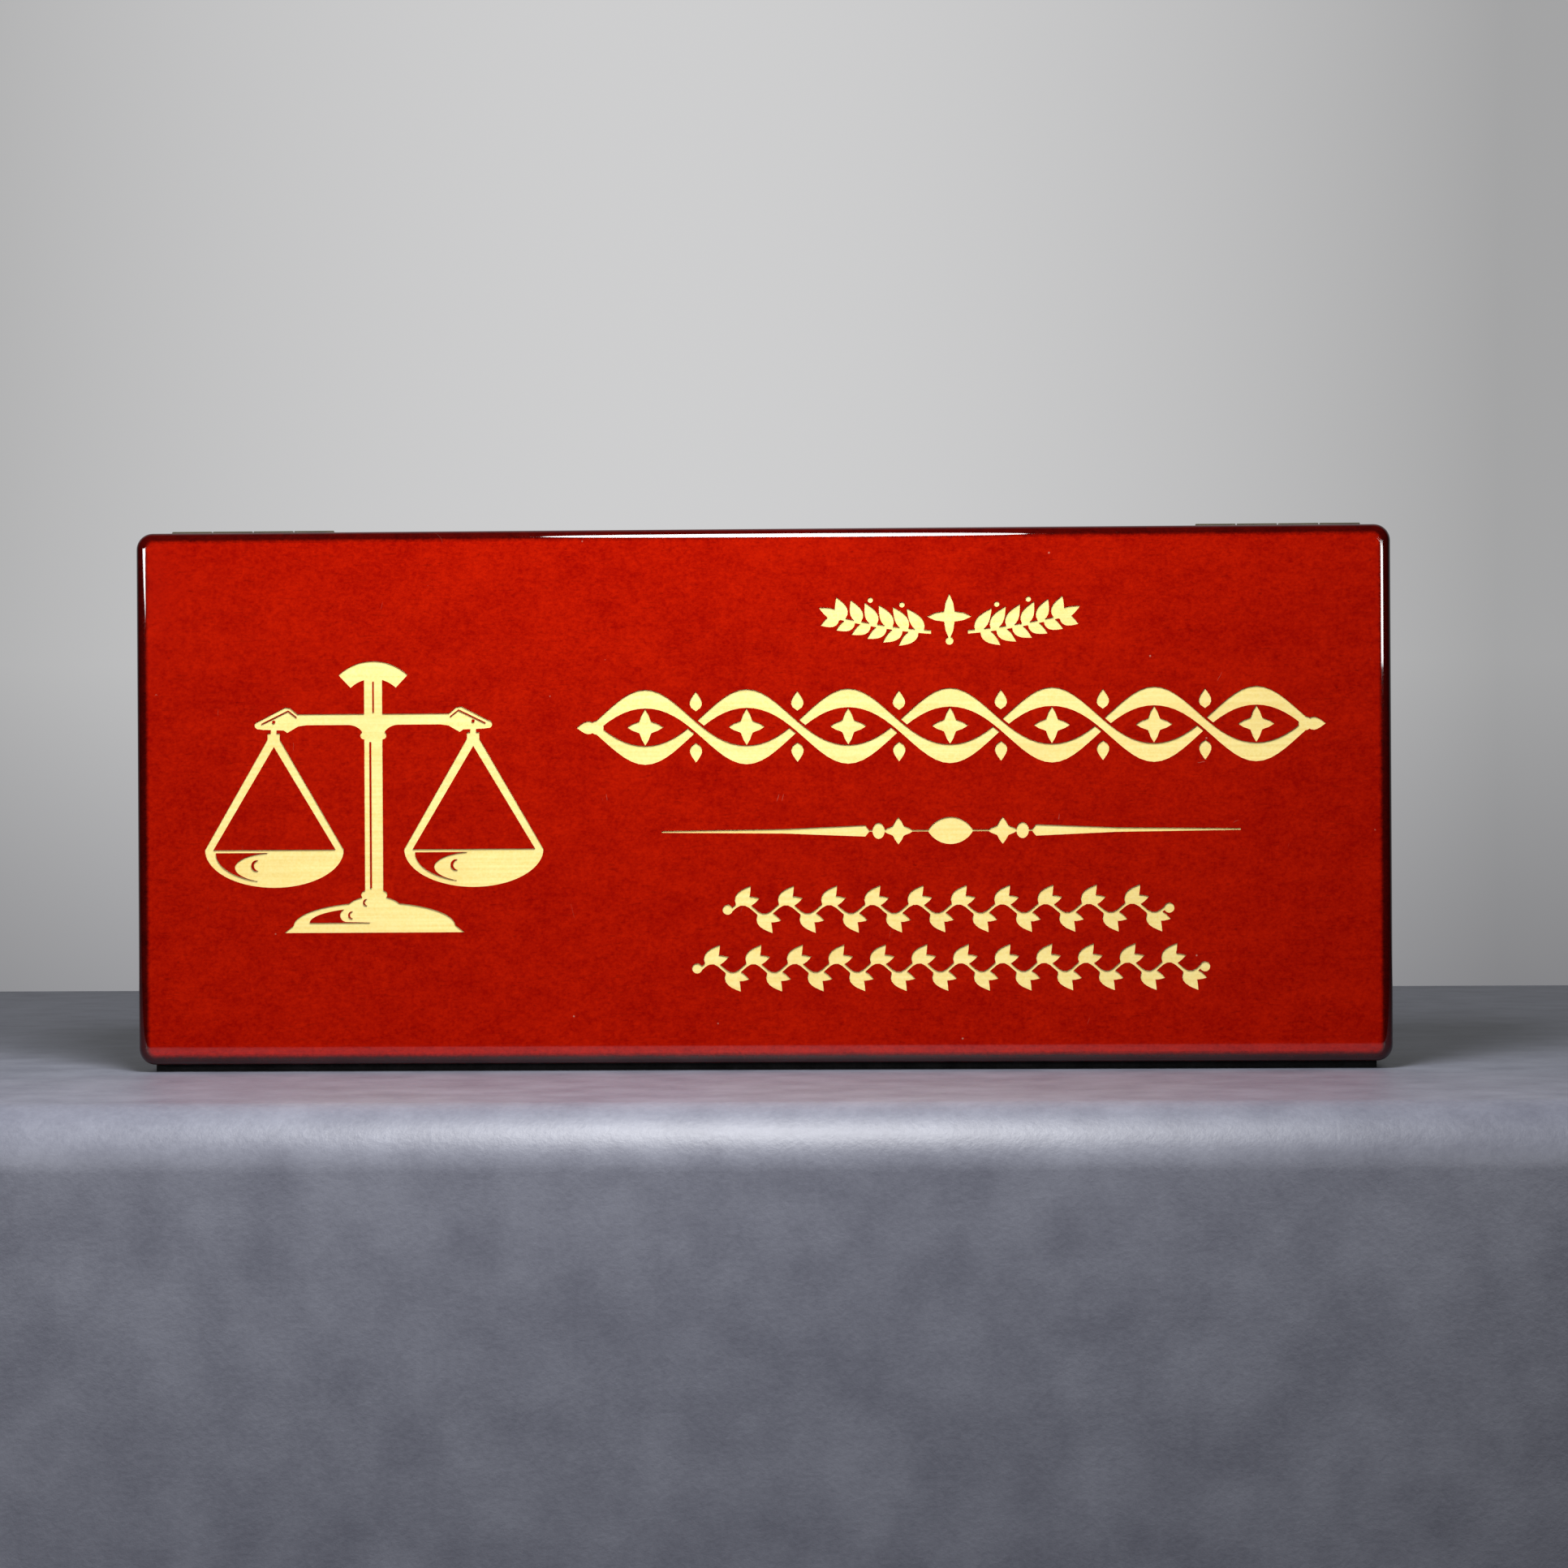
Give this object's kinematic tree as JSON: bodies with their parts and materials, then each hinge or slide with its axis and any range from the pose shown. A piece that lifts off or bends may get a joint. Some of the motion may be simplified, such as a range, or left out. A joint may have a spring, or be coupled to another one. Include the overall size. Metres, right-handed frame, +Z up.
{
  "type": "engraved presentation case",
  "caption": "Hinged glossy wooden presentation case standing on its long edge, its lid an engraved plaque with gold-filled scales and ornament, lined for a gavel and its block.",
  "frame": {"origin": "middle of the footprint, on the surface the case stands on", "axes": "+X right across the plaque, +Y from the plaque to the back of the case, +Z up towards the hinges"},
  "size_m": [0.343, 0.0776, 0.1478],
  "materials": {
    "rosewood_edge": "dark stain under high gloss lacquer",
    "rosewood_face": "red stained veneer under high gloss lacquer",
    "gold_infill": "satin gold paint in fine engraved lines",
    "hinge_brass": "bright plated",
    "velvet": "short black pile",
    "magnet_nickel": "polished nickel",
    "felt": "dense felt"
  },
  "bodies": {
    "base": {"base_board": "rosewood_edge", "base_rail_top": "rosewood_edge", "base_rail_bottom": "rosewood_edge", "base_rail_left": "rosewood_edge", "base_rail_right": "rosewood_edge", "base_lining_top": "velvet", "base_lining_bottom": "velvet", "base_lining_left": "velvet", "base_lining_right": "velvet", "fitted_insert": "velvet", "base_magnets": "magnet_nickel", "felt_feet": "felt", "left_hinge_base_leaf": "hinge_brass", "left_hinge_pin": "hinge_brass", "right_hinge_base_leaf": "hinge_brass", "right_hinge_pin": "hinge_brass", "base_hinge_screws": "hinge_brass"},
    "lid": {"lid_board": "rosewood_edge", "face_veneer": "rosewood_face", "lid_rail_top": "rosewood_edge", "lid_rail_bottom": "rosewood_edge", "lid_rail_left": "rosewood_edge", "lid_rail_right": "rosewood_edge", "scales_gold": "gold_infill", "crest_gold": "gold_infill", "band_gold": "gold_infill", "divider_gold": "gold_infill", "upper_vine_gold": "gold_infill", "lower_vine_gold": "gold_infill", "lid_lining_top": "velvet", "lid_lining_bottom": "velvet", "lid_lining_left": "velvet", "lid_lining_right": "velvet", "lid_pad": "velvet", "lid_magnets": "magnet_nickel", "left_hinge_lid_leaf": "hinge_brass", "right_hinge_lid_leaf": "hinge_brass", "lid_hinge_screws": "hinge_brass"}
  },
  "joints": [
    {"name": "lid_hinge", "type": "hinge", "parent": "base", "child": "lid", "pos_m": [0, -0.01375, 0.14605], "axis": [-1, 0, 0], "range_deg": [0, 180]}
  ]
}
